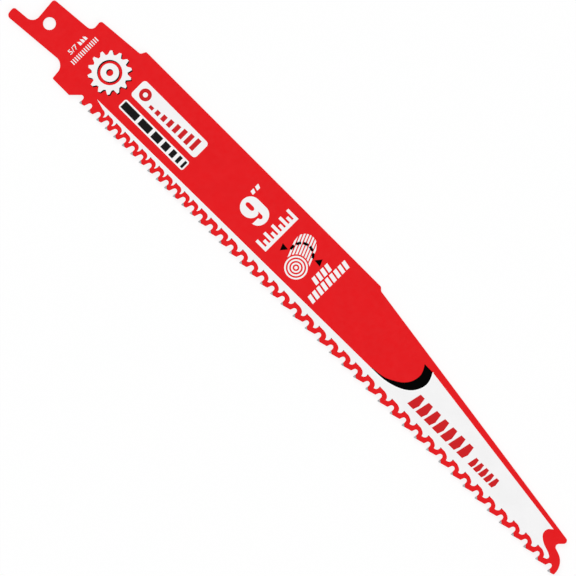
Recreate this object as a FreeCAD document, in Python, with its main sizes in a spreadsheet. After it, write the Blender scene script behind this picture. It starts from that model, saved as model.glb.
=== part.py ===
import FreeCAD, Part
import math
import os
import Sketcher

# A reciprocating saw blade: one punched steel plate, and a carbide tip welded to each tooth.
#
# The origin is the centre of the pin hole, on the middle plane of the plate. +X runs along the
# shank to the nose, +Y to the back edge and +Z out of the printed face. The back edge and the
# line of the tooth tips are canted to the shank. Their sketches are turned by the cant angle
# about the pin hole, and in them u runs along the tooth line and v up to the back edge.

Vector = FreeCAD.Vector

SIZES = [
    ("plate_thickness", 1.27, "steel plate"),
    ("cant_angle", 5.0, "tooth line to shank, degrees"),
    ("shank_width", 12.7, "half inch shank"),
    ("pin_hole_diameter", 3.8, "hole for the pin of the blade clamp"),
    ("tang_reach", 11.22, "pin hole to the end of the tang"),
    ("tang_width", 3.37, "tang, from the lower edge of the shank"),
    ("shoulder_reach", 3.62, "pin hole back to the shoulder that stops in the clamp"),
    ("neck_reach", 11.05, "pin hole to where the plate widens"),
    ("hump_rise", 4.01, "flat behind the neck, above the shank"),
    ("hump_length", 15.2, "that flat, up to the step to the back edge"),
    ("step_run", 1.05, "length of the step to the back edge"),
    ("back_height", 14.28, "pin hole to the back edge"),
    ("tip_depth", 10.39, "pin hole to the line of the tooth tips"),
    ("heel_drop", 0.44, "heel beyond the line of the tooth tips"),
    ("heel_angle", 45.0, "ramp from the heel to the first gullet, degrees"),
    ("taper_length", 93.88, "last tip back to the start of the tapered back"),
    ("taper_drop", 0.94, "small step where the taper starts"),
    ("nose_height", 10.5, "point of the nose above the tooth tips"),
    ("nose_setback", 0.8, "point of the nose behind the last tip"),
    ("nose_return", 3.55, "slant from the point down to the notch"),
    ("lobe_height", 4.96, "round lobe below the notch, above the tooth tips"),
    ("lobe_reach", 2.13, "that lobe beyond the last tip"),
    ("tang_end_radius", 1.3, "lower corner of the tang"),
    ("corner_radius", 0.9, "corners of the tang, the shoulder and the flat"),
    ("tang_root_radius", 2.55, "inner corner of tang and shoulder"),
    ("hump_root_radius", 1.8, "inner corner of shank and flat"),
    ("heel_root_radius", 3.0, "inner corner of shank and heel"),
    ("step_radius", 0.8, "soft corners of the steps in the back"),
    ("small_radius", 0.45, "small outer corners of the plate"),
    ("nose_radius", 1.0, "point of the nose and its notch"),
    ("lobe_radius", 5.2, "round of the lobe"),
    ("first_tooth", 22.67, "pin hole to the first tip"),
    ("fine_pitch", 3.543, "teeth next to the heel"),
    ("fine_steps", 14, "count of fine pitches"),
    ("middle_pitch", 4.28, "teeth between fine and coarse"),
    ("middle_steps", 8, "count of middle pitches"),
    ("coarse_pitch", 5.063, "teeth up to the nose"),
    ("coarse_steps", 22, "count of coarse pitches"),
    ("clearance_angle", 15.5, "back of each tooth to the tooth line, degrees"),
    ("wall_angle", 70.0, "rear wall of each gullet to the tooth line, degrees"),
    ("gullet_radius", 0.76, "round of each gullet"),
    ("gullet_lead", 0.65, "centre of that round ahead of the tip"),
    ("gullet_height", 1.555, "centre of that round above the tip"),
    ("tip_width", 1.8, "carbide across its cutting edge"),
    ("tip_length", 0.98, "carbide along the tooth line"),
    ("tip_face", 0.78, "height of the carbide's cutting face"),
    ("seat_height", 0.92, "top of the carbide's seat above the tip"),
    ("relief_angle", 8.0, "how fast the carbide narrows to its seat, degrees"),
    ("relief_lean", 45.0, "way in which it narrows, up from the tooth line, degrees"),
]

os.makedirs("parts", exist_ok=True)
doc = FreeCAD.newDocument("saw_blade")
sheet = doc.addObject("Spreadsheet::Sheet", "Sizes")
for row, (alias, value, note) in enumerate(SIZES, start=1):
    sheet.set(f"A{row}", alias)
    sheet.set(f"B{row}", str(value))
    sheet.setAlias(f"B{row}", alias)
    sheet.set(f"C{row}", note)
doc.recompute()

COS = "cos(Sizes.cant_angle)"
SIN = "sin(Sizes.cant_angle)"
SHANK_SIDE = "Sizes.shank_width / 2"
HUMP_END = "Sizes.neck_reach + Sizes.hump_length"
HEEL_BOTTOM = "-(Sizes.tip_depth + Sizes.heel_drop)"
CLEARANCE = "tan(Sizes.clearance_angle)"
RAKE_SETBACK = "Sizes.gullet_radius - Sizes.gullet_lead"
BELOW_TEETH = "-(Sizes.tip_depth + Sizes.heel_drop + Sizes.gullet_radius)"


def tooth_place(fine, middle, coarse):
    """Place of a tip along the tooth line, after so many pitches of each zone."""
    return (f"Sizes.first_tooth + {fine} * Sizes.fine_pitch"
            f" + {middle} * Sizes.middle_pitch + {coarse} * Sizes.coarse_pitch")


LAST_TOOTH = tooth_place("Sizes.fine_steps", "Sizes.middle_steps", "Sizes.coarse_steps")
TAPER_START = f"{LAST_TOOTH} - Sizes.taper_length"
NOSE_ALONG = f"{LAST_TOOTH} - Sizes.nose_setback"
NOSE_UP = "Sizes.nose_height - Sizes.tip_depth"
LOBE_END = f"{LAST_TOOTH} + Sizes.lobe_reach"

# How near an edge stands to its corner, how square a face is to the plate, the share of a side
# that a corner's round may always take, and the share of its free length that it may fill
SAME_PLACE = 1e-4
SQUARE = 0.99
SIDE_SHARE = 0.4
FREE_SHARE = 0.98


def origin_plane(body, role):
    """One of the body's own origin planes."""
    for feature in body.Origin.OriginFeatures:
        if feature.Role == role:
            return feature
    raise ValueError(role)


def new_body(label):
    """A body whose label names its piece."""
    body = doc.addObject("PartDesign::Body", label)
    body.Label = label
    return body


def new_sketch(body, name, canted):
    """A sketch on the body's middle plane, turned to the tooth line if it is canted."""
    sketch = body.newObject("Sketcher::SketchObject", name)
    sketch.AttachmentSupport = [(origin_plane(body, "XY_Plane"), "")]
    sketch.MapMode = "FlatFace"
    if canted:
        turn = FreeCAD.Rotation(Vector(0, 0, -1), sheet.cant_angle)
        sketch.AttachmentOffset = FreeCAD.Placement(Vector(0, 0, 0), turn)
        sketch.setExpression("AttachmentOffset.Rotation.Angle", "Sizes.cant_angle")
    return sketch


def bind(sketch, constraint, expression):
    """Add a constraint whose value is an expression of the sheet."""
    number = sketch.addConstraint(constraint)
    sketch.setExpression(f"Constraints[{number}]", expression)


def pin(sketch, line, end, across, up):
    """Hold one end of a line at its distances from the sketch's origin."""
    x = float(sketch.evalExpression(across))
    y = float(sketch.evalExpression(up))
    bind(sketch, Sketcher.Constraint("DistanceX", -1, 1, line, end, x), across)
    bind(sketch, Sketcher.Constraint("DistanceY", -1, 1, line, end, y), up)


def outline(sketch, corners):
    """A closed outline of straight lines through the corners."""
    points = []
    for across, up in corners:
        x = float(sketch.evalExpression(across))
        y = float(sketch.evalExpression(up))
        points.append(Vector(x, y, 0))
    count = len(points)
    for index in range(count):
        side = Part.LineSegment(points[index], points[(index + 1) % count])
        sketch.addGeometry(side, False)
    for index in range(count):
        join = Sketcher.Constraint("Coincident", index, 2, (index + 1) % count, 1)
        sketch.addConstraint(join)
    for index, (across, up) in enumerate(corners):
        pin(sketch, index, 1, across, up)
    return points


def pad_through(body, sketch, name, thickness):
    """A plate of the sketch's outline, centred on its plane."""
    pad = body.newObject("PartDesign::Pad", name)
    pad.Profile = sketch
    pad.Midplane = True
    pad.setExpression("Length", thickness)
    doc.recompute()
    return pad


def pocket_through(body, sketch, name):
    """Cut the sketch's outline right through the body."""
    before = body.Shape.Volume
    pocket = body.newObject("PartDesign::Pocket", name)
    pocket.Profile = sketch
    pocket.Type = "ThroughAll"
    pocket.Midplane = True
    doc.recompute()
    if body.Shape.Volume >= before:
        raise ValueError(f"{name} cuts nothing")
    return pocket


def upright_edge(shape, point):
    """Name of the upright edge that stands at a point of the outline."""
    for number, edge in enumerate(shape.Edges, start=1):
        ends = [vertex.Point for vertex in edge.Vertexes]
        gaps = [math.hypot(end.x - point.x, end.y - point.y) for end in ends]
        if len(gaps) == 2 and max(gaps) < SAME_PLACE:
            return f"Edge{number}"
    raise ValueError(f"no edge at {point}")


def half_turn_tangent(before, corner, after):
    """Tangent of half the angle that the outline turns at a corner."""
    turn = (corner - before).getAngle(after - corner)
    return math.tan(turn / 2)


def round_corners(body, points, radii):
    """Round the outline's corners, one fillet for each named radius, limited by the edges."""
    count = len(points)
    tangents = []
    for index, point in enumerate(points):
        before = points[index - 1]
        after = points[(index + 1) % count]
        tangents.append(half_turn_tangent(before, point, after))
    reach = []
    for index, alias in enumerate(radii):
        reach.append(getattr(sheet, alias) * tangents[index] if alias else 0.0)
    for alias in dict.fromkeys(alias for alias in radii if alias):
        spots = [index for index in range(count) if radii[index] == alias]
        limits = []
        for index in spots:
            for other in (index - 1, (index + 1) % count):
                length = points[index].distanceToPoint(points[other])
                room = max(length - reach[other], SIDE_SHARE * length)
                limits.append(FREE_SHARE * room / tangents[index])
        base = body.Tip
        fillet = body.newObject("PartDesign::Fillet", f"round_{alias}")
        fillet.Base = (base, [upright_edge(base.Shape, points[index]) for index in spots])
        fillet.setExpression("Radius", f"min(Sizes.{alias}; {min(limits):.4f})")
        doc.recompute()


def canted(along, up):
    """A corner given along and up from the tooth line's direction, turned to the shank's."""
    return (f"({along}) * {COS} + ({up}) * {SIN}", f"({up}) * {COS} - ({along}) * {SIN}")


def on_canted_line(across, up):
    """A corner at a place along the shank, on a line of constant height over the tooth line."""
    return (across, f"({up} - ({across}) * {SIN}) / {COS}")


def plate_outline(body):
    """The blade without its teeth: shank, flat, back, tapered back, nose and heel."""
    notch_along = f"{NOSE_ALONG} - Sizes.nose_return"
    notch_up = f"{NOSE_UP} - Sizes.nose_return"
    step_top = f"{HUMP_END} + Sizes.step_run"
    taper_along = f"{TAPER_START} + Sizes.taper_drop"
    corners = [
        ("-Sizes.tang_reach", f"-{SHANK_SIDE}", "tang_end_radius"),
        ("-Sizes.tang_reach", f"Sizes.tang_width - {SHANK_SIDE}", "corner_radius"),
        ("-Sizes.shoulder_reach", f"Sizes.tang_width - {SHANK_SIDE}", "tang_root_radius"),
        ("-Sizes.shoulder_reach", SHANK_SIDE, "corner_radius"),
        ("Sizes.neck_reach", SHANK_SIDE, "hump_root_radius"),
        ("Sizes.neck_reach", f"{SHANK_SIDE} + Sizes.hump_rise", "corner_radius"),
        (HUMP_END, f"{SHANK_SIDE} + Sizes.hump_rise", "step_radius"),
        (*on_canted_line(step_top, "Sizes.back_height"), "small_radius"),
        (*canted(TAPER_START, "Sizes.back_height"), "step_radius"),
        (*canted(taper_along, "Sizes.back_height - Sizes.taper_drop"), "step_radius"),
        (*canted(NOSE_ALONG, NOSE_UP), "nose_radius"),
        (*canted(notch_along, notch_up), "nose_radius"),
        (*canted(LOBE_END, "Sizes.lobe_height - Sizes.tip_depth"), "lobe_radius"),
        (*canted(LOBE_END, f"Sizes.lobe_reach * {CLEARANCE} - Sizes.tip_depth"), "small_radius"),
        (*canted(f"{LAST_TOOTH} - Sizes.heel_drop / {CLEARANCE}", HEEL_BOTTOM), None),
        (*on_canted_line("Sizes.neck_reach", HEEL_BOTTOM), "small_radius"),
        ("Sizes.neck_reach", f"-{SHANK_SIDE}", "heel_root_radius"),
    ]
    sketch = new_sketch(body, "plate_outline", canted=False)
    points = outline(sketch, [corner[:2] for corner in corners])
    pad_through(body, sketch, "plate", "Sizes.plate_thickness")
    round_corners(body, points, [corner[2] for corner in corners])


def pin_hole(body):
    """The hole that the pin of the saw's clamp goes through."""
    sketch = new_sketch(body, "pin_hole_outline", canted=False)
    ring = Part.Circle(Vector(0, 0, 0), Vector(0, 0, 1), sheet.pin_hole_diameter / 2)
    sketch.addGeometry(ring, False)
    sketch.addConstraint(Sketcher.Constraint("Coincident", 0, 3, -1, 1))
    across = Sketcher.Constraint("Diameter", 0, sheet.pin_hole_diameter)
    bind(sketch, across, "Sizes.pin_hole_diameter")
    pocket_through(body, sketch, "pin_hole")


def gullet_path(sketch, centre, angle, tip, pitch):
    """First places of a gap's corners, from the foot of its rear wall round below the teeth."""
    level = -sheet.tip_depth
    place = float(sketch.evalExpression(tip))
    bottom = float(sketch.evalExpression(BELOW_TEETH))
    slope = math.tan(math.radians(sheet.clearance_angle))
    steep = math.tan(angle)
    entry = centre + Vector(-math.sin(angle), math.cos(angle), 0) * sheet.gullet_radius
    seat_top = Vector(centre.x + sheet.gullet_radius, level + sheet.seat_height, 0)
    seat_end = Vector(place + sheet.tip_length, level + sheet.tip_length * slope, 0)
    floor_end = Vector(seat_end.x, bottom, 0)
    if not pitch:
        foot = Vector(entry.x - (entry.y - bottom) / steep, bottom, 0)
        return [foot, entry, seat_top, seat_end, floor_end]
    before = Vector(place - float(sketch.evalExpression(pitch)), level, 0)
    floor_start = Vector(before.x, bottom, 0)
    run = (entry.y - level - (entry.x - before.x) * steep) / (slope - steep)
    foot = Vector(before.x + run, level + run * slope, 0)
    return [foot, entry, seat_top, seat_end, floor_end, floor_start, before]


def hold_round(sketch, wall, arc, rake, tip):
    """Bind the gullet's round, and join it to the rear wall and the front wall."""
    sketch.addConstraint(Sketcher.Constraint("Tangent", wall, 2, arc, 2))
    sketch.addConstraint(Sketcher.Constraint("Tangent", rake, 1, arc, 1))
    sketch.addConstraint(Sketcher.Constraint("Vertical", rake))
    radius = Sketcher.Constraint("Radius", arc, sheet.gullet_radius)
    bind(sketch, radius, "Sizes.gullet_radius")
    pin(sketch, arc, 3, f"{tip} - Sizes.gullet_lead", "Sizes.gullet_height - Sizes.tip_depth")


def hold_seat(sketch, rake, seat, drop, tip):
    """Bind the seat of the carbide, and the end of the gap below it."""
    top = "Sizes.seat_height - Sizes.tip_depth"
    height = float(sketch.evalExpression(top))
    bind(sketch, Sketcher.Constraint("DistanceY", -1, 1, rake, 2, height), top)
    pin(sketch, seat, 2, f"{tip} + Sizes.tip_length",
        f"Sizes.tip_length * {CLEARANCE} - Sizes.tip_depth")
    sketch.addConstraint(Sketcher.Constraint("Vertical", drop))
    bottom = float(sketch.evalExpression(BELOW_TEETH))
    bind(sketch, Sketcher.Constraint("DistanceY", -1, 1, drop, 2, bottom), BELOW_TEETH)


def hold_clearance(sketch, rise, clearance, tip, pitch):
    """Bind the back of the tooth before, from its tip to the foot of the rear wall."""
    sketch.addConstraint(Sketcher.Constraint("Vertical", rise))
    pin(sketch, rise, 2, f"{tip} - ({pitch})", "-Sizes.tip_depth")
    slope = Sketcher.Constraint("Angle", clearance, math.radians(sheet.clearance_angle))
    bind(sketch, slope, "Sizes.clearance_angle")


def gullet_outline(body, name, tip, pitch):
    """Sketch of the gap ahead of one tooth, with the seat of its carbide.

    It runs from the tip of the tooth before, or for the first tooth from the ramp of the heel.
    """
    sketch = new_sketch(body, name, canted=True)
    wall_name = "wall_angle" if pitch else "heel_angle"
    angle = math.radians(getattr(sheet, wall_name))
    along = float(sketch.evalExpression(tip)) - sheet.gullet_lead
    centre = Vector(along, sheet.gullet_height - sheet.tip_depth, 0)
    path = gullet_path(sketch, centre, angle, tip, pitch)
    circle = Part.Circle(centre, Vector(0, 0, 1), sheet.gullet_radius)
    exit_point = centre + Vector(sheet.gullet_radius, 0, 0)

    wall = sketch.addGeometry(Part.LineSegment(path[0], path[1]), False)
    arc = sketch.addGeometry(Part.ArcOfCircle(circle, 0, math.pi / 2 + angle), False)
    chain = []
    for start, end in zip([exit_point] + path[2:], path[2:] + path[:1]):
        chain.append(sketch.addGeometry(Part.LineSegment(start, end), False))
    for first, second in zip(chain, chain[1:] + [wall]):
        sketch.addConstraint(Sketcher.Constraint("Coincident", first, 2, second, 1))

    rake, seat, drop, floor = chain[:4]
    hold_round(sketch, wall, arc, rake, tip)
    bind(sketch, Sketcher.Constraint("Angle", wall, angle), f"Sizes.{wall_name}")
    hold_seat(sketch, rake, seat, drop, tip)
    sketch.addConstraint(Sketcher.Constraint("Horizontal", floor))
    if pitch:
        rise, clearance = chain[4:]
        hold_clearance(sketch, rise, clearance, tip, pitch)
    doc.recompute()
    return sketch


def tooth_zone(body, name, tip, pitch, steps):
    """Cut the teeth of one pitch: the first gap, and its copies along the tooth line."""
    sketch = gullet_outline(body, f"{name}_gullet_outline", tip, pitch)
    pocket = pocket_through(body, sketch, f"{name}_gullet")
    before = body.Shape.Volume
    row = body.newObject("PartDesign::LinearPattern", f"{name}_gullets")
    row.Originals = [pocket]
    row.Direction = (sketch, ["H_Axis"])
    row.setExpression("Length", f"({steps} - 1) * {pitch}")
    row.setExpression("Occurrences", steps)
    body.Tip = row
    doc.recompute()
    if body.Shape.Volume >= before:
        raise ValueError(f"{name} teeth aren't cut")


def blade_body():
    """The punched steel plate with its shank, teeth and tip seats."""
    body = new_body("blade_body")
    plate_outline(body)
    pin_hole(body)
    first = gullet_outline(body, "first_gullet_outline", tooth_place(0, 0, 0), None)
    pocket_through(body, first, "first_gullet")
    fine = tooth_place(1, 0, 0)
    middle = tooth_place("Sizes.fine_steps", 1, 0)
    coarse = tooth_place("Sizes.fine_steps", "Sizes.middle_steps", 1)
    tooth_zone(body, "fine", fine, "Sizes.fine_pitch", "Sizes.fine_steps")
    tooth_zone(body, "middle", middle, "Sizes.middle_pitch", "Sizes.middle_steps")
    tooth_zone(body, "coarse", coarse, "Sizes.coarse_pitch", "Sizes.coarse_steps")
    return body


def carbide_tip(label, tip):
    """One carbide tip, modelled about its cutting edge and placed on its tooth's seat."""
    body = new_body(label)
    sketch = new_sketch(body, f"{label}_side", canted=False)
    corners = [
        ("0", "0"),
        ("0", "Sizes.tip_face"),
        (RAKE_SETBACK, "Sizes.seat_height"),
        ("Sizes.tip_length", f"Sizes.tip_length * {CLEARANCE}"),
    ]
    outline(sketch, corners)
    blank = pad_through(body, sketch, f"{label}_blank", "Sizes.tip_width")
    widest = body.newObject("PartDesign::Plane", f"{label}_widest")
    widest.AttachmentSupport = [(origin_plane(body, "YZ_Plane"), "")]
    widest.MapMode = "FlatFace"
    lean = FreeCAD.Rotation(Vector(0, 1, 0), sheet.relief_lean)
    widest.AttachmentOffset = FreeCAD.Placement(Vector(0, 0, 0), lean)
    widest.setExpression("AttachmentOffset.Rotation.Angle", "Sizes.relief_lean")
    relief = body.newObject("PartDesign::Draft", f"{label}_relief")
    flanks = []
    for number, face in enumerate(blank.Shape.Faces, start=1):
        if abs(face.normalAt(0, 0).z) > SQUARE:
            flanks.append(f"Face{number}")
    relief.Base = (blank, flanks)
    relief.NeutralPlane = (widest, [""])
    relief.setExpression("Angle", "Sizes.relief_angle")
    turn = FreeCAD.Rotation(Vector(0, 0, -1), sheet.cant_angle)
    body.Placement = FreeCAD.Placement(Vector(0, 0, 0), turn)
    across, up = canted(tip, "-Sizes.tip_depth")
    body.setExpression("Placement.Base.x", across)
    body.setExpression("Placement.Base.y", up)
    body.setExpression("Placement.Rotation.Angle", "Sizes.cant_angle")
    return body


def tip_places():
    """Place of every tip along the tooth line, from the heel to the nose."""
    places = [tooth_place(0, 0, 0)]
    for step in range(1, int(sheet.fine_steps) + 1):
        places.append(tooth_place(step, 0, 0))
    for step in range(1, int(sheet.middle_steps) + 1):
        places.append(tooth_place("Sizes.fine_steps", step, 0))
    for step in range(1, int(sheet.coarse_steps) + 1):
        places.append(tooth_place("Sizes.fine_steps", "Sizes.middle_steps", step))
    return places


nodes = [blade_body()]
for number, place in enumerate(tip_places(), start=1):
    nodes.append(carbide_tip(f"carbide_tip_{number:02d}", place))
doc.recompute()

for item in doc.Objects:
    if "Invalid" in item.State or "Error" in item.State:
        raise ValueError(f"{item.Name} failed: {item.State}")
for node in nodes:
    if node.Shape.isNull() or not node.Shape.isValid() or len(node.Shape.Solids) != 1:
        raise ValueError(f"{node.Label} isn't one valid solid")
for node in nodes:
    node.Shape.exportStep(f"parts/{node.Label}.step")
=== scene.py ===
import math

import bmesh
import bpy
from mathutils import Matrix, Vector
from mathutils.geometry import tessellate_polygon


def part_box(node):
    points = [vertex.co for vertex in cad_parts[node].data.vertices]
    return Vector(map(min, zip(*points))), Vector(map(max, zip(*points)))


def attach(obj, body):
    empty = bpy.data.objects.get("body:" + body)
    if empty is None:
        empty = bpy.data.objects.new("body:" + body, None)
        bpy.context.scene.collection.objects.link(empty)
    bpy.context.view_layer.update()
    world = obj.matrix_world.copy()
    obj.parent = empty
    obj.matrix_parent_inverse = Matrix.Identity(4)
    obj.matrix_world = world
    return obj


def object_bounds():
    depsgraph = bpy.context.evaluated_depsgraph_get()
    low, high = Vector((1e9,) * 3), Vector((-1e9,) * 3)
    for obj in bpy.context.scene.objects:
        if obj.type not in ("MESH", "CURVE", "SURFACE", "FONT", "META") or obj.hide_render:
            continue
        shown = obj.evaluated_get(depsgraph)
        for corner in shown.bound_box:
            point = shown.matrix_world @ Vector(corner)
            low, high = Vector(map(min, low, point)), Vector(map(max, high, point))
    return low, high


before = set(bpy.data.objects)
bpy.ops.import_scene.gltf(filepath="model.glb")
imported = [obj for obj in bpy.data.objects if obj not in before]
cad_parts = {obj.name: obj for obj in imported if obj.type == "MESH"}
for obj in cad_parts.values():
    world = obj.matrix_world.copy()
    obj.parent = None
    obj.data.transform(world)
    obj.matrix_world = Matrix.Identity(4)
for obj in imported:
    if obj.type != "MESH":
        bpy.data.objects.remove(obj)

# A carbide-tipped reciprocating saw blade, lying flat with its printed face up.
#
# Places on the printed face are in millimetres in the tooth line's directions: u runs from the
# pin hole along the tooth line to the nose, and v runs up to the back edge.

MM = 0.001
CANT = math.radians(5.0)
SOLID_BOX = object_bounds()
PLATE_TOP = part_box("blade_body")[1].z / MM


def along_and_up(point):
    """A point of the frame, in metres, as u and v in millimetres."""
    u = point.x * math.cos(CANT) - point.y * math.sin(CANT)
    v = point.x * math.sin(CANT) + point.y * math.cos(CANT)
    return u / MM, v / MM


def on_face(u, v, height):
    """A place on the printed face, at a height in millimetres, as a point in metres."""
    x = u * math.cos(CANT) + v * math.sin(CANT)
    y = v * math.cos(CANT) - u * math.sin(CANT)
    return Vector((x, y, height)) * MM


def tip_places():
    """Place of each tooth's cutting edge, from the carbide tips of the frame."""
    places = []
    for name in sorted(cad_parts):
        if name.startswith("carbide_tip"):
            corners = [along_and_up(vertex.co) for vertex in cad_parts[name].data.vertices]
            places.append((min(u for u, v in corners), min(v for u, v in corners)))
    return places


TIPS = tip_places()


# Materials, with the size of each pattern and the depth of each relief in millimetres

RED = (0.805, 0.005, 0.008)
DEEP_RED = (0.62, 0.007, 0.010)
WHITE = (0.915, 0.912, 0.915)
BRIGHT_WHITE = (0.99, 0.99, 0.99)
BLACK = (0.0006, 0.0005, 0.0005)
SOFT_BLACK = (0.010, 0.009, 0.0095)
DARK_CARBIDE = (0.51, 0.51, 0.52)
LIGHT_CARBIDE = (0.66, 0.66, 0.67)

# Nearly all noise lies in the wide range, and most of it in the narrow one
WIDE_NOISE = (0.3, 0.7)
NARROW_NOISE = (0.35, 0.65)

MOTTLE_SIZE = 6.0
MOTTLE_SHARE = 0.975
SHEEN_SIZE = 1.4
SHEEN_SWING = 0.05
PEEL_SIZE = 0.35
PEEL_DEPTH = 0.005
PEEL_STRENGTH = 0.35

GRINDING_SIZE = 0.07
GRINDING_STRETCH = (1.0, 0.08, 0.05)
GRINDING_DEPTH = 0.004
GRINDING_STRENGTH = 0.4
CARBIDE_ROUGHNESS = (0.28, 0.46)
CARBIDE_METALLIC = 0.5


def new_material(name):
    """An empty node material with its shader and object coordinates in millimetres."""
    material = bpy.data.materials.new(name)
    material.use_nodes = True
    tree = material.node_tree
    shader = tree.nodes["Principled BSDF"]
    place = tree.nodes.new("ShaderNodeTexCoord")
    scale = tree.nodes.new("ShaderNodeVectorMath")
    scale.operation = "SCALE"
    scale.inputs["Scale"].default_value = 1 / MM
    tree.links.new(place.outputs["Object"], scale.inputs[0])
    return material, tree, shader, scale.outputs[0]


def noise(tree, place, size, detail, stretch=None):
    """Noise with features of a size in millimetres."""
    texture = tree.nodes.new("ShaderNodeTexNoise")
    texture.inputs["Scale"].default_value = 1 / size
    texture.inputs["Detail"].default_value = detail
    if stretch:
        mapping = tree.nodes.new("ShaderNodeMapping")
        mapping.inputs["Scale"].default_value = stretch
        tree.links.new(place, mapping.inputs["Vector"])
        place = mapping.outputs["Vector"]
    tree.links.new(place, texture.inputs["Vector"])
    return texture.outputs["Fac"]


def blend_colours(tree, factor, first, second, span):
    """A colour that drifts between two as the factor crosses a span."""
    ramp = tree.nodes.new("ShaderNodeValToRGB")
    for element, position, colour in zip(ramp.color_ramp.elements, span, (first, second)):
        element.position = position
        element.color = (*colour, 1)
    tree.links.new(factor, ramp.inputs["Fac"])
    return ramp.outputs["Color"]


def spread(tree, factor, low, high):
    """A number that runs from low to high with the factor."""
    span = tree.nodes.new("ShaderNodeMapRange")
    span.inputs["From Min"].default_value = WIDE_NOISE[0]
    span.inputs["From Max"].default_value = WIDE_NOISE[1]
    span.inputs["To Min"].default_value = low
    span.inputs["To Max"].default_value = high
    tree.links.new(factor, span.inputs["Value"])
    return span.outputs["Result"]


def bump(tree, shader, height, strength, depth):
    """Relief of a depth in millimetres on the shader's normal."""
    node = tree.nodes.new("ShaderNodeBump")
    node.inputs["Strength"].default_value = strength
    node.inputs["Distance"].default_value = depth * MM
    tree.links.new(height, node.inputs["Height"])
    tree.links.new(node.outputs["Normal"], shader.inputs["Normal"])


def coat_material(name, colour, rough, gloss):
    """Semi-gloss baked coat or printed ink: faint mottle and a fine orange peel."""
    material, tree, shader, place = new_material(name)
    mottle = noise(tree, place, MOTTLE_SIZE, detail=3.0)
    deep = tuple(part * MOTTLE_SHARE for part in colour)
    tone = blend_colours(tree, mottle, deep, colour, NARROW_NOISE)
    tree.links.new(tone, shader.inputs["Base Color"])
    sheen = noise(tree, place, SHEEN_SIZE, detail=2.0)
    roughness = spread(tree, sheen, rough - SHEEN_SWING, rough + SHEEN_SWING)
    tree.links.new(roughness, shader.inputs["Roughness"])
    peel = noise(tree, place, PEEL_SIZE, detail=2.0)
    bump(tree, shader, peel, PEEL_STRENGTH, PEEL_DEPTH)
    shader.inputs["Specular IOR Level"].default_value = gloss
    return material


def carbide_material():
    """Ground tungsten carbide: fine grinding lines across a light grey metal."""
    material, tree, shader, place = new_material("ground_carbide")
    lines = noise(tree, place, GRINDING_SIZE, detail=4.0, stretch=GRINDING_STRETCH)
    tone = blend_colours(tree, lines, DARK_CARBIDE, LIGHT_CARBIDE, WIDE_NOISE)
    tree.links.new(tone, shader.inputs["Base Color"])
    tree.links.new(spread(tree, lines, *CARBIDE_ROUGHNESS), shader.inputs["Roughness"])
    bump(tree, shader, lines, GRINDING_STRENGTH, GRINDING_DEPTH)
    shader.inputs["Metallic"].default_value = CARBIDE_METALLIC
    return material


RED_COAT = coat_material("red_coat", RED, rough=0.35, gloss=0.22)
RED_INK = coat_material("red_ink", DEEP_RED, rough=0.45, gloss=0.2)
WHITE_INK = coat_material("white_ink", WHITE, rough=0.5, gloss=0.1)
BRIGHT_INK = coat_material("bright_white_ink", BRIGHT_WHITE, rough=0.5, gloss=0.1)
BLACK_INK = coat_material("black_ink", BLACK, rough=0.5, gloss=0.03)
SOFT_BLACK_INK = coat_material("soft_black_ink", SOFT_BLACK, rough=0.5, gloss=0.05)
CARBIDE = carbide_material()


# The solids' finish

SAME_PLACE = 0.002
FLAT_ANGLE = math.radians(0.5)
SHARP_ANGLE = math.radians(50)
PLATE_EDGE = 0.12
CARBIDE_EDGE = 0.035


def dress(node, material, edge):
    """Give a solid its material, and break its sharp edges by a width in millimetres."""
    node.data.materials.clear()
    node.data.materials.append(material)
    weld = node.modifiers.new("weld", "WELD")
    weld.merge_threshold = SAME_PLACE * MM
    flat = node.modifiers.new("flat_faces", "DECIMATE")
    flat.decimate_type = "DISSOLVE"
    flat.angle_limit = FLAT_ANGLE
    bevel = node.modifiers.new("broken_edges", "BEVEL")
    bevel.width = edge * MM
    bevel.segments = 2
    bevel.limit_method = "ANGLE"
    bevel.angle_limit = SHARP_ANGLE


def dress_solids():
    """The coated plate, and the ground tips."""
    for name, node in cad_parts.items():
        if name == "blade_body":
            dress(node, RED_COAT, PLATE_EDGE)
        else:
            dress(node, CARBIDE, CARBIDE_EDGE)


# Outlines on the printed face

def arc(centre, radii, start, end, steps):
    """Points of an arc about a centre, with its radii along u and v and its angles in degrees."""
    points = []
    for step in range(steps + 1):
        angle = math.radians(start + (end - start) * step / steps)
        points.append((centre[0] + radii[0] * math.cos(angle),
                       centre[1] + radii[1] * math.sin(angle)))
    return points


def circle(centre, radius):
    """A full round."""
    return arc(centre, (radius, radius), 0, 360, steps=32)[:-1]


def ring(centre, inner, outer):
    """A round with a round hole."""
    return [circle(centre, outer), circle(centre, inner)[::-1]]


def ring_part(centre, inner, outer, start, end):
    """The part of a ring between two angles in degrees."""
    outside = arc(centre, (outer, outer), start, end, steps=4)
    inside = arc(centre, (inner, inner), end, start, steps=4)
    return outside + inside


def smooth(points):
    """A smooth curve through the points."""
    steps = 6
    ends = [points[0]] + points + [points[-1]]
    curve = []
    for a, b, c, d in zip(ends, ends[1:], ends[2:], ends[3:]):
        for step in range(steps):
            t = step / steps
            curve.append(tuple(
                0.5 * (2 * b[i] + (c[i] - a[i]) * t
                       + (2 * a[i] - 5 * b[i] + 4 * c[i] - d[i]) * t ** 2
                       + (3 * b[i] - a[i] - 3 * c[i] + d[i]) * t ** 3)
                for i in range(2)))
    return curve + [points[-1]]


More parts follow.
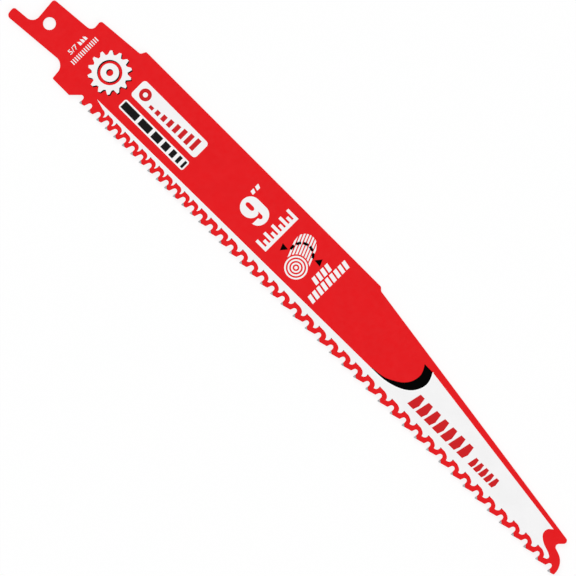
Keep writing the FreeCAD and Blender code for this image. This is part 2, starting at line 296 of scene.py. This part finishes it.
def rounded(corners, radius, steps=5):
    """A closed outline with its corners rounded."""
    outline = []
    count = len(corners)
    for index in range(count):
        corner = Vector(corners[index])
        back = (Vector(corners[index - 1]) - corner).normalized()
        ahead = (Vector(corners[(index + 1) % count]) - corner).normalized()
        half = back.angle(ahead) / 2
        middle = corner + (back + ahead).normalized() * (radius / math.sin(half))
        start = corner + back * (radius / math.tan(half)) - middle
        end = corner + ahead * (radius / math.tan(half)) - middle
        for step in range(steps + 1):
            turned = start.lerp(end, step / steps).normalized() * radius
            outline.append(tuple(middle + turned))
    return outline


def block(u, v, width, height):
    """A block that stands square on the tooth line."""
    return [(u, v), (u + width, v), (u + width, v + height), (u, v + height)]


def moved(shape, du, dv):
    """The same outlines, moved along and up."""
    return [[(u + du, v + dv) for u, v in outline] for outline in shape]


def beside(curve, width):
    """The curve moved to its right-hand side by a width."""
    points = []
    for index, point in enumerate(curve):
        before = Vector(curve[max(index - 1, 0)])
        after = Vector(curve[min(index + 1, len(curve) - 1)])
        side = (after - before).normalized() * width
        points.append((point[0] + side.y, point[1] - side.x))
    return points


# Inks

INK_SINK = 0.005
INK_THICKNESS = 0.02
LAYER_RISE = 0.015


def finish_ink(name, mesh, material):
    """Turn a thin closed mesh, drawn along, up and in height, into a printed piece."""
    bmesh.ops.recalc_face_normals(mesh, faces=mesh.faces)
    for vertex in mesh.verts:
        vertex.co = on_face(*vertex.co)
    data = bpy.data.meshes.new(name)
    mesh.to_mesh(data)
    mesh.free()
    data.materials.append(material)
    piece = bpy.data.objects.new(name, data)
    bpy.context.scene.collection.objects.link(piece)
    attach(piece, "root")


def outlines_of(shape):
    """The outlines of a shape that is one outline, or an outline and its holes."""
    return shape if isinstance(shape[0], list) else [shape]


def ink(name, shapes, material, layer=0):
    """Printed shapes as one thin piece. Each shape is an outline, or an outline and its holes."""
    low = PLATE_TOP - INK_SINK
    high = PLATE_TOP + INK_THICKNESS + layer * LAYER_RISE
    mesh = bmesh.new()
    flats = set()
    for shape in shapes:
        loops = outlines_of(shape)
        levels = []
        for height in (high, low):
            levels.append([[mesh.verts.new((u, v, height)) for u, v in loop] for loop in loops])
        triangles = tessellate_polygon([[Vector((u, v, 0)) for u, v in loop] for loop in loops])
        for level in levels:
            corners = [vertex for loop in level for vertex in loop]
            for triangle in triangles:
                flats.add(mesh.faces.new([corners[index] for index in triangle]))
        for top, bottom in zip(*levels):
            for index in range(len(top)):
                after = (index + 1) % len(top)
                mesh.faces.new((top[index], top[after], bottom[after], bottom[index]))
    inner = [edge for edge in mesh.edges if flats.issuperset(edge.link_faces)]
    bmesh.ops.beautify_fill(mesh, faces=list(flats), edges=inner)
    finish_ink(name, mesh, material)


# The white field, with the red rim that follows the teeth

FIELD_POINT = (25.7, -5.86)
STRIP_START = (152.6, 7.18)
STRIP_END = (210.55, -0.34)
CRESCENT_OUTSIDE = [(139.0, -4.7), (143.65, -4.49), (147.25, -3.69), (150.17, -2.38),
                    (152.28, -0.66), (153.54, 1.57), (153.9, 3.6), (153.45, 5.5), STRIP_START]
CRESCENT_INSIDE = [(139.0, -4.55), (143.25, -3.97), (145.95, -2.8), (148.42, -1.21),
                   (150.06, 0.89), (150.71, 3.5), (150.28, 5.45), (149.24, 7.25)]
NOSE_CURVE = [STRIP_END, (209.36, -1.4), (209.04, -2.6), (209.53, -3.92), (211.45, -5.33),
              (214.1, -6.27), (215.4, -7.1), (215.2, -7.95)]
OUTLINE_WIDTH = 0.32

# Each scallop lies between a tooth and the next one, and its heights are above a cutting edge
FIRST_SCALLOP = 2
SCALLOPS = range(FIRST_SCALLOP, len(TIPS) - 2)
SCALLOP_TOP = 3.61
GULLET_CENTRE = (-0.65, 1.555)
RIM_RADIUS = 2.05
CUSP_UP = 2.02
BEND_UP = 3.07
CORNER_CUT = 0.08
TICK_SIZE = 0.34
TICK_OVERLAP = 0.03

# First tooth that the row holds for, cusp beyond its tip, wall ahead of the next tip, and how
# far the rim's round swells outwards and leans towards its top
SCALLOP_SIZES = [
    (2, 0.92, 2.04, 0.07, 0.0),
    (14, 1.22, 2.41, 0.25, -0.03),
    (17, 1.26, 1.98, 0.0, -0.06),
    (22, 1.58, 2.44, 0.11, -0.055),
    (32, 1.36, 2.37, -0.06, -0.065),
]


def scallop_sizes(index):
    """Sizes of the rim's scallop between a tooth and the next one."""
    return [sizes[1:] for sizes in SCALLOP_SIZES if sizes[0] <= index][-1]


def cusp_after(index):
    """Place of the field's cusp that reaches down into a tooth."""
    along, up = TIPS[index]
    return along + scallop_sizes(index)[0], up + CUSP_UP


def wall_after(index):
    """Where the wall beyond a tooth's cusp stands, and the height of its top."""
    along, up = TIPS[index + 1]
    return along - scallop_sizes(index)[1], up + SCALLOP_TOP


def gullet_round(index):
    """The rim's round over the gullet ahead of a tooth, from its top to the tooth's cusp."""
    along, up = TIPS[index]
    swell, lean = scallop_sizes(index)[2:]
    centre = Vector((along + GULLET_CENTRE[0], up + GULLET_CENTRE[1]))
    reach = Vector(cusp_after(index)) - centre
    first, last = 90, math.degrees(math.atan2(reach.y, reach.x))
    steps = 8
    points = []
    for step in range(steps + 1):
        share = step / steps
        radius = RIM_RADIUS + (reach.length - RIM_RADIUS) * share ** 2
        radius += swell * math.sin(math.pi * share) + lean * math.sin(2 * math.pi * share)
        angle = math.radians(first + (last - first) * share)
        points.append((centre.x + radius * math.cos(angle), centre.y + radius * math.sin(angle)))
    return points


def scallop(index):
    """The field's edge from one tooth's cusp to the next one's."""
    cusp = cusp_after(index)
    wall, top = wall_after(index)
    turn = TIPS[index][1] + BEND_UP
    bend = arc((cusp[0], turn), (wall - cusp[0], turn - cusp[1]), -90, 0, steps=8)
    corner = [(wall, top - CORNER_CUT), (wall + CORNER_CUT, top)]
    return bend[1:] + corner + gullet_round(index + 1)


def white_field():
    """The white field from its point at the heel to the nose, with scalloped lower edge."""
    edge = gullet_round(FIRST_SCALLOP)
    for index in SCALLOPS:
        edge += scallop(index)
    top = smooth(CRESCENT_OUTSIDE)
    nose = smooth(NOSE_CURVE)
    outline = [FIELD_POINT] + edge + nose[::-1] + top[::-1]
    ink("white_field", [outline], WHITE_INK)


def crescent():
    """The black crescent at the round end of the red field, and its bright outline."""
    outer = smooth(CRESCENT_OUTSIDE)
    inner = smooth(CRESCENT_INSIDE)
    ink("black_crescent", [outer + inner[::-1]], BLACK_INK, 1)
    edge = beside(outer, OUTLINE_WIDTH) + outer[::-1]
    ink("bright_outline", [edge], BRIGHT_INK, 1)


def rim_ticks():
    """The tiny dark mark at the upper corner of each scallop."""
    shapes = []
    for index in SCALLOPS:
        wall, top = wall_after(index)
        high = top + TICK_OVERLAP
        foot = (wall + TICK_OVERLAP, top - TICK_SIZE)
        shapes.append([(wall - TICK_OVERLAP, high), foot, (wall + TICK_SIZE, high)])
    ink("rim_ticks", shapes, BLACK_INK, 1)


# Plain marks near the shank

def toothed_disc():
    """A plain toothed disc with a dark edge below it."""
    centre = (22.8, 2.35)
    count = 14
    # Turn in degrees and radius of each corner of a tooth
    tooth = ((0, 6.6), (6, 6.45), (12, 5.4), (19, 5.25))
    outline = []
    for number in range(count):
        for turn, radius in tooth:
            angle = math.radians(360 * number / count + turn)
            outline.append((centre[0] + radius * math.cos(angle),
                            centre[1] + radius * math.sin(angle)))
    hole, hub, arbor = 3.75, 2.75, 1.05
    disc = [[outline, circle(centre, hole)[::-1]], ring(centre, arbor, hub)]
    shift = (0.42, -0.08)
    shadow = [moved(shape, *shift) for shape in disc]
    ink("disc_shadow", shadow, BLACK_INK)
    ink("toothed_disc", disc, WHITE_INK, 1)


def gauge_plate():
    """A white plate with rounded corners, a red ring and a row of rising red bars."""
    left, low, length, height = 31.6, 2.05, 26.8, 6.15
    plate = rounded(block(left, low, length, height), radius=1.05)
    ink("white_plate", [plate], WHITE_INK)
    start, foot, pitch, width, count = 38.1, 3.15, 2.4, 1.45, 8
    lowest, rise = 1.05, 0.42
    marks = []
    for number in range(count):
        marks.append(block(start + pitch * number, foot, width, lowest + rise * number))
    marks.append(ring((34.9, low + height / 2), inner=0.75, outer=1.9))
    ink("plate_marks", marks, RED_INK, 1)


def stepped_bar():
    """A white bar with black blocks on it that grow narrower towards the nose."""
    left, low, length, height = 31.65, -3.1, 26.65, 3.37
    plate = rounded(block(left, low, length, height), radius=0.7)
    ink("bar_plate", [plate], WHITE_INK)
    margin, gap, count, share = 0.5, 1.05, 7, 0.72
    room = length - 2 * margin - (count - 1) * gap
    width = room * (1 - share) / (1 - share ** count)
    u = left + margin
    blocks = []
    for _ in range(count):
        blocks.append(block(u, low + margin, width, height - 2 * margin))
        u += width + gap
        width *= share
    ink("bar_blocks", blocks, SOFT_BLACK_INK, 1)


# Plain marks and numbers that stand across the blade

LOG_CENTRE = Vector((102.3, 0.5))
LOG_BACK = Vector((-2.7, 6.5))
LOG_RADIUS = 3.5
CUT_SHARE = 0.58
LOG_ALONG = LOG_BACK.normalized()
LOG_ACROSS = LOG_ALONG.orthogonal()


def ruler():
    """A plain row of ruler marks."""
    top, base, foot = 88.4, 91.6, 92.65
    start, end, width, count = -2.5, 11.2, 0.95, 9
    shorter = 1.5
    step = (end - start - width) / (count - 1)
    outline = []
    for number in reversed(range(count)):
        v = start + step * number
        reach = top + shorter * (number % 2)
        outline += [(base, v + width), (reach, v + width), (reach, v), (base, v)]
    outline[0] = (foot, end)
    outline[-1] = (foot, start)
    ink("ruler_marks", [outline], WHITE_INK)


def log():
    """A plain drawing of a log, with year rings on its end and lines of bark."""
    width = 0.5
    shapes = [circle(LOG_CENTRE, width)]
    shapes += [ring(LOG_CENTRE, inner, inner + width) for inner in (1.0, 2.0, 3.0)]
    gap, count, share = 0.45, 8, 0.6
    pitch = 2 * LOG_RADIUS / (count - 1 + share)
    ends = ((LOG_CENTRE, LOG_RADIUS + gap), (LOG_CENTRE + LOG_BACK, LOG_RADIUS))
    for number in range(count):
        side = pitch * number - LOG_RADIUS
        corners = []
        for centre, radius in ends:
            for offset in (side, side + pitch * share):
                reach = math.sqrt(max(radius ** 2 - offset ** 2, 0))
                corners.append(tuple(centre + LOG_ACROSS * offset + LOG_ALONG * reach))
        shapes.append([corners[0], corners[1], corners[3], corners[2]])
    ink("log_drawing", shapes, WHITE_INK)


def cut_marks():
    """A black dashed line across the drawn log, with an arrow head at each end."""
    middle = LOG_CENTRE + LOG_BACK * CUT_SHARE
    heading = math.degrees(math.atan2(LOG_BACK.y, LOG_BACK.x))
    half, dash, pitch = 0.4, 26, 36
    shapes = []
    for turn in range(-85, 80, pitch):
        start = heading + turn
        shapes.append(ring_part(middle, LOG_RADIUS - half, LOG_RADIUS + half, start, start + dash))
    gap, length, half_width = 0.75, 2.1, 1.15
    for outwards in (LOG_ACROSS, -LOG_ACROSS):
        tip = middle + outwards * (LOG_RADIUS + gap)
        foot = tip + outwards * length
        side = LOG_ALONG * half_width
        shapes.append([tuple(tip), tuple(foot + side), tuple(foot - side)])
    ink("cut_marks", shapes, BLACK_INK, 1)


def block_rows():
    """Two rows of plain slanted blocks."""
    pitch, width, lean = 1.77, 1.2, 0.45
    shapes = []
    for top, height, start, count in ((107.8, 2.45, 1.0, 4), (110.8, 2.6, -3.6, 9)):
        foot = top + height
        for number in range(count):
            v = start + pitch * number
            shapes.append([(foot, v), (top, v + lean), (top, v + lean + width), (foot, v + width)])
    ink("block_rows", shapes, WHITE_INK)


def length_number():
    """The blade's length in inches, a plain bold 9 with its inch mark."""
    middle, half = 3.67, 3.18
    # Over the top, round the foot to its end, back along the inside, then under the bowl
    outline = arc((80.25, middle), (3.2, half), 270, 90, steps=24)
    outline += arc((83.6, middle), (3.0, half), 90, -84, steps=24)
    outline += [(84.05, 0.72), (84.05, 2.9)]
    outline += arc((84.25, 3.65), (0.75, 0.7), -90, 90, steps=10)
    outline += [(82.75, 4.36), (83.2, 3.95)]
    outline += arc((80.25, 3.3), (3.15, 2.81), 0, -88, steps=14)
    hole = arc((79.35, 3.65), (0.98, 0.7), 90, 270, steps=12)
    hole += arc((80.55, 3.65), (0.98, 0.7), -90, 90, steps=12)
    strokes = ([(76.9, 6.95), (76.9, 8.22), (78.15, 7.76), (78.15, 6.66)],
               [(76.9, 8.85), (76.9, 10.18), (78.2, 9.66), (78.2, 8.45)])
    inch_mark = [rounded(stroke, radius=0.1, steps=2) for stroke in strokes]
    ink("length_number", [[outline, hole[::-1]]] + inch_mark, WHITE_INK)


def flat_figures(text):
    """Plain figures as a flat mesh, drawn along its own x and y."""
    curve = bpy.data.curves.new("figures", "FONT")
    curve.body = text
    curve.offset = 0.012
    curve.resolution_u = 6
    figures = bpy.data.objects.new("figures", curve)
    bpy.context.scene.collection.objects.link(figures)
    flat = bpy.data.meshes.new_from_object(figures)
    bpy.data.objects.remove(figures)
    bpy.data.curves.remove(curve)
    mesh = bmesh.new()
    mesh.from_mesh(flat)
    bpy.data.meshes.remove(flat)
    return mesh


def pitch_numbers():
    """Teeth to the inch, as plain small numbers."""
    mesh = flat_figures("5/7")
    across = [vertex.co.x for vertex in mesh.verts]
    up = [vertex.co.y for vertex in mesh.verts]
    foot, height, start, width = 11.1, 1.6, -2.1, 3.2
    for vertex in mesh.verts:
        u = foot - height * (vertex.co.y - min(up)) / (max(up) - min(up))
        v = start + width * (vertex.co.x - min(across)) / (max(across) - min(across))
        vertex.co = (u, v, PLATE_TOP - INK_SINK)
    sides = bmesh.ops.extrude_face_region(mesh, geom=mesh.faces[:])
    risen = [item for item in sides["geom"] if isinstance(item, bmesh.types.BMVert)]
    bmesh.ops.translate(mesh, verts=risen, vec=Vector((0, 0, INK_SINK + INK_THICKNESS)))
    finish_ink("pitch_numbers", mesh, WHITE_INK)


def pitch_marks():
    """Small plain teeth and graduation marks beside the pitch numbers."""
    shapes = []
    foot, start, pitch, count = 11.1, 1.85, 1.1, 3
    tooth = ((0, 0), (1.5, 0), (0.9, 0.7), (0, 0.86))
    for number in range(count):
        v = start + pitch * number
        shapes.append([(foot - height, v + across) for height, across in tooth])
    top, height, start, width, pitch, count = 12.3, 1.55, -3.5, 0.34, 0.76, 14
    for number in range(count):
        shapes.append(block(top, start + pitch * number, height, width))
    ink("pitch_marks", shapes, WHITE_INK)


# Plain marks on the white field

def red_teeth():
    """A row of plain red teeth, large and then small."""
    foot = -4.6
    # Each corner of a tooth, as shares of its pitch and its height
    tooth = ((0, 0), (0.72, 0), (0.92, 0.4), (0.8, 1), (0.3, 1))
    shapes = []
    for start, pitch, count, height in ((153.75, 3.4, 7, 4.65), (178.9, 2.12, 5, 3.1)):
        for number in range(count):
            u = start + pitch * number
            shapes.append([(u + pitch * along, foot + height * up) for along, up in tooth])
    ink("red_teeth", shapes, RED_INK, 1)


# The floor, light and camera, with the floor's reach in metres and the photograph's sizes in
# millimetres

FLOOR_REACH = 4.0
FLOOR_WHITE = (0.98, 0.98, 0.98, 1)
FLOOR_GLOW = 0.84

LIGHT_LEVEL = 0.5
GLOSS_AROUND = 0.6
GLOSS_OVERHEAD = 0.04
DIMMING_HEIGHTS = (0.55, 0.9)

PHOTO_PIXELS = 576
PIXEL_SIZE = 0.2948
PHOTO_CENTRE = Vector((104.0, -14.52, 0))
PHOTO_TURN = math.radians(40)
LENS = 400
SENSOR_WIDTH = 36
FAR_END = 20


def floor():
    """A plain white floor under the blade, with the blade's shadow on it."""
    low = SOLID_BOX[0].z
    reach = FLOOR_REACH
    corners = [(-reach, -reach, low), (reach, -reach, low),
               (reach, reach, low), (-reach, reach, low)]
    data = bpy.data.meshes.new("floor")
    data.from_pydata(corners, [], [(0, 1, 2, 3)])
    plane = bpy.data.objects.new("floor", data)
    bpy.context.scene.collection.objects.link(plane)
    material = bpy.data.materials.new("floor_white")
    material.use_nodes = True
    tree = material.node_tree
    shader = tree.nodes["Principled BSDF"]
    shader.inputs["Base Color"].default_value = FLOOR_WHITE
    shader.inputs["Roughness"].default_value = 0.9
    shader.inputs["Specular IOR Level"].default_value = 0.0
    glow = tree.nodes.new("ShaderNodeEmission")
    path = tree.nodes.new("ShaderNodeLightPath")
    seen = tree.nodes.new("ShaderNodeMapRange")
    seen.inputs["To Max"].default_value = FLOOR_GLOW
    mix = tree.nodes.new("ShaderNodeMixShader")
    tree.links.new(path.outputs["Is Camera Ray"], seen.inputs["Value"])
    tree.links.new(seen.outputs["Result"], mix.inputs["Fac"])
    tree.links.new(shader.outputs["BSDF"], mix.inputs[1])
    tree.links.new(glow.outputs["Emission"], mix.inputs[2])
    tree.links.new(mix.outputs["Shader"], tree.nodes["Material Output"].inputs["Surface"])
    data.materials.append(material)


def sky():
    """Even light from all round, white to the camera and dimmer overhead in reflections."""
    world = bpy.data.worlds.new("studio")
    bpy.context.scene.world = world
    world.use_nodes = True
    tree = world.node_tree
    background = tree.nodes["Background"]
    background.inputs["Color"].default_value = (1, 1, 1, 1)
    path = tree.nodes.new("ShaderNodeLightPath")
    place = tree.nodes.new("ShaderNodeTexCoord")
    parts = tree.nodes.new("ShaderNodeSeparateXYZ")
    tree.links.new(place.outputs["Generated"], parts.inputs["Vector"])
    reflected = tree.nodes.new("ShaderNodeMapRange")
    reflected.interpolation_type = "SMOOTHSTEP"
    reflected.inputs["From Min"].default_value = DIMMING_HEIGHTS[0]
    reflected.inputs["From Max"].default_value = DIMMING_HEIGHTS[1]
    reflected.inputs["To Min"].default_value = GLOSS_AROUND
    reflected.inputs["To Max"].default_value = GLOSS_OVERHEAD
    tree.links.new(parts.outputs["Z"], reflected.inputs["Value"])
    level = tree.nodes.new("ShaderNodeMix")
    level.inputs["A"].default_value = LIGHT_LEVEL
    tree.links.new(path.outputs["Is Glossy Ray"], level.inputs["Factor"])
    tree.links.new(reflected.outputs["Result"], level.inputs["B"])
    shown = tree.nodes.new("ShaderNodeMath")
    shown.operation = "MAXIMUM"
    tree.links.new(path.outputs["Is Camera Ray"], shown.inputs[0])
    tree.links.new(level.outputs["Result"], shown.inputs[1])
    tree.links.new(shown.outputs["Value"], background.inputs["Strength"])


def lamp(name, level, azimuth, elevation, softness):
    """A wide soft lamp far away that gives a flat surface the level of light asked for."""
    turn, rise = math.radians(azimuth), math.radians(elevation)
    data = bpy.data.lights.new(name, "SUN")
    data.energy = level * math.pi / math.sin(rise)
    data.angle = math.radians(softness)
    source = bpy.data.objects.new(name, data)
    level_reach = math.cos(rise)
    towards = Vector((math.cos(turn) * level_reach, math.sin(turn) * level_reach, math.sin(rise)))
    source.rotation_mode = "QUATERNION"
    source.rotation_quaternion = towards.to_track_quat("Z", "Y")
    bpy.context.scene.collection.objects.link(source)


def camera():
    """Straight above the blade, turned as the photograph is, from far away."""
    data = bpy.data.cameras.new("camera")
    data.sensor_width = SENSOR_WIDTH
    data.lens = LENS
    data.clip_end = FAR_END
    distance = PHOTO_PIXELS * PIXEL_SIZE * LENS / SENSOR_WIDTH
    eye = bpy.data.objects.new("camera", data)
    eye.location = (PHOTO_CENTRE + Vector((0, 0, PLATE_TOP + distance))) * MM
    eye.rotation_euler = (0, 0, PHOTO_TURN)
    bpy.context.scene.collection.objects.link(eye)
    bpy.context.scene.camera = eye


dress_solids()
white_field()
crescent()
rim_ticks()
toothed_disc()
gauge_plate()
stepped_bar()
ruler()
log()
cut_marks()
block_rows()
red_teeth()
length_number()
pitch_numbers()
pitch_marks()
floor()
sky()
lamp("key_light", level=0.3, azimuth=150, elevation=50, softness=40)
lamp("fill_light", level=0.2, azimuth=-20, elevation=45, softness=50)
camera()
bpy.context.scene.view_settings.view_transform = "Standard"
